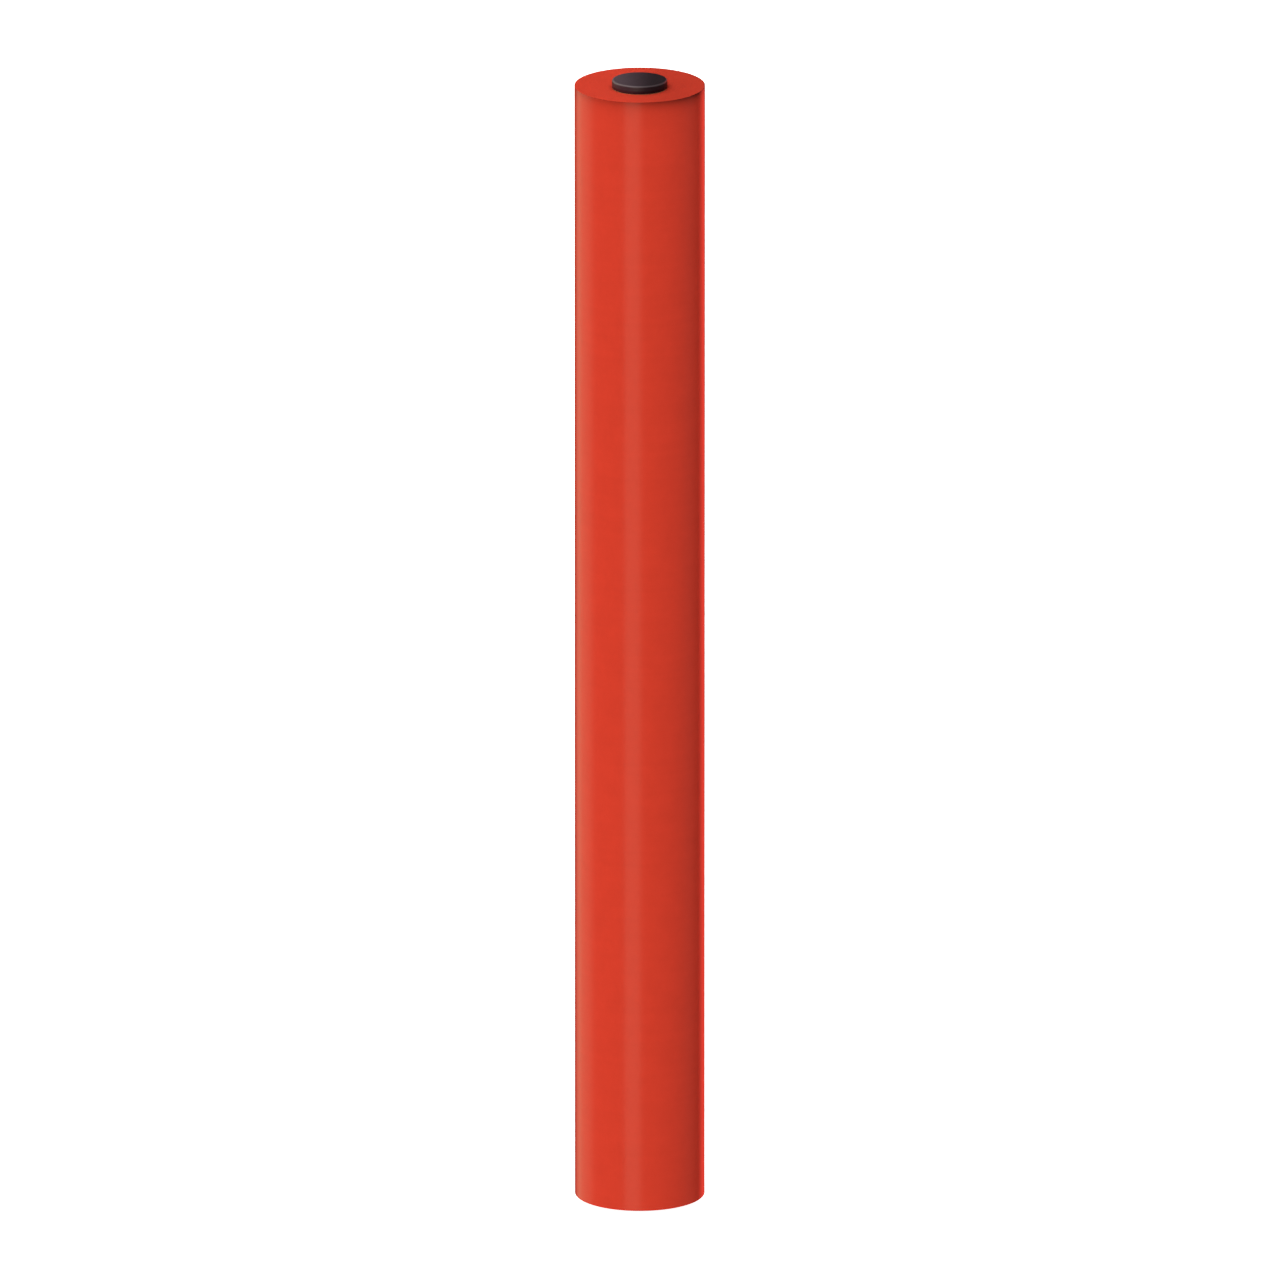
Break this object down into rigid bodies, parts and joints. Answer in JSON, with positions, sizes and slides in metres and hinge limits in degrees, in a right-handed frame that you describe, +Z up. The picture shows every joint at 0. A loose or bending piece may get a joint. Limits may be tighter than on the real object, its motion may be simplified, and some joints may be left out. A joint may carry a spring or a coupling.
{
  "type": "backdrop paper roll",
  "caption": "Roll of red seamless backdrop paper on a paperboard core, with a pull-out plastic plug in each end and a leader that peels away from the roll.",
  "frame": {"origin": "centre of the bottom plug's outer face, which the roll stands on", "axes": "+Z up the roll's axis; -Y is the side opposite the free edge of the paper, +X to the right of it"},
  "size_m": [0.1523, 0.1527, 1.37],
  "materials": {
    "red_paper": "matt uncoated dyed paper, faint sheen across the sheet",
    "liner_board": "grey-brown recycled paperboard, spiral seam",
    "core_board": "brown kraft paperboard, spiral plies",
    "paper_tape": "creped cream masking tape",
    "black_plastic": "moulded polyethylene, fine texture, soft sheen"
  },
  "bodies": {
    "roll": {"core_liner_ply": "liner_board", "core_body_plies": "core_board", "core_outer_ply": "core_board", "tail_tapes": "paper_tape", "wound_paper": "red_paper"},
    "leader_1": {"leader_strip_1": "red_paper"},
    "leader_2": {"leader_strip_2": "red_paper"},
    "leader_3": {"leader_strip_3": "red_paper"},
    "leader_4": {"leader_strip_4": "red_paper"},
    "leader_5": {"leader_strip_5": "red_paper"},
    "leader_6": {"leader_strip_6": "red_paper"},
    "leader_7": {"leader_strip_7": "red_paper"},
    "leader_8": {"leader_strip_8": "red_paper", "closing_tapes": "paper_tape"},
    "top_plug": {"top_plug": "black_plastic"},
    "bottom_plug": {"bottom_plug": "black_plastic"}
  },
  "joints": [
    {"name": "top_plug_pull", "type": "slide", "parent": "roll", "child": "top_plug", "axis": [0, 0, 1], "range_m": [0, 0.06]},
    {"name": "bottom_plug_pull", "type": "slide", "parent": "roll", "child": "bottom_plug", "axis": [0, 0, -1], "range_m": [0, 0.06]},
    {"name": "leader_peel", "type": "hinge", "parent": "roll", "child": "leader_1", "pos_m": [0.06016, -0.04701, 0.688], "axis": [0, 0, -1], "range_deg": [0, 9]},
    {"name": "leader_bend_2", "type": "hinge", "parent": "leader_1", "child": "leader_2", "pos_m": [0.07175, -0.02611, 0.688], "axis": [0, 0, -1], "range_deg": [0, 18]},
    {"name": "leader_bend_3", "type": "hinge", "parent": "leader_2", "child": "leader_3", "pos_m": [0.0763, -0.00266, 0.688], "axis": [0, 0, -1], "range_deg": [0, 18]},
    {"name": "leader_bend_4", "type": "hinge", "parent": "leader_3", "child": "leader_4", "pos_m": [0.07339, 0.02104, 0.688], "axis": [0, 0, -1], "range_deg": [0, 18]},
    {"name": "leader_bend_5", "type": "hinge", "parent": "leader_4", "child": "leader_5", "pos_m": [0.0633, 0.04269, 0.688], "axis": [0, 0, -1], "range_deg": [0, 18]},
    {"name": "leader_bend_6", "type": "hinge", "parent": "leader_5", "child": "leader_6", "pos_m": [0.04701, 0.06016, 0.688], "axis": [0, 0, -1], "range_deg": [0, 18]},
    {"name": "leader_bend_7", "type": "hinge", "parent": "leader_6", "child": "leader_7", "pos_m": [0.02611, 0.07175, 0.688], "axis": [0, 0, -1], "range_deg": [0, 18]},
    {"name": "leader_bend_8", "type": "hinge", "parent": "leader_7", "child": "leader_8", "pos_m": [0.00266, 0.0763, 0.688], "axis": [0, 0, -1], "range_deg": [0, 18]}
  ],
  "couplings": [
    {"joint": "leader_bend_2", "follows": "leader_peel", "ratio": 2},
    {"joint": "leader_bend_3", "follows": "leader_peel", "ratio": 2},
    {"joint": "leader_bend_4", "follows": "leader_peel", "ratio": 2},
    {"joint": "leader_bend_5", "follows": "leader_peel", "ratio": 2},
    {"joint": "leader_bend_6", "follows": "leader_peel", "ratio": 2},
    {"joint": "leader_bend_7", "follows": "leader_peel", "ratio": 2},
    {"joint": "leader_bend_8", "follows": "leader_peel", "ratio": 2}
  ]
}
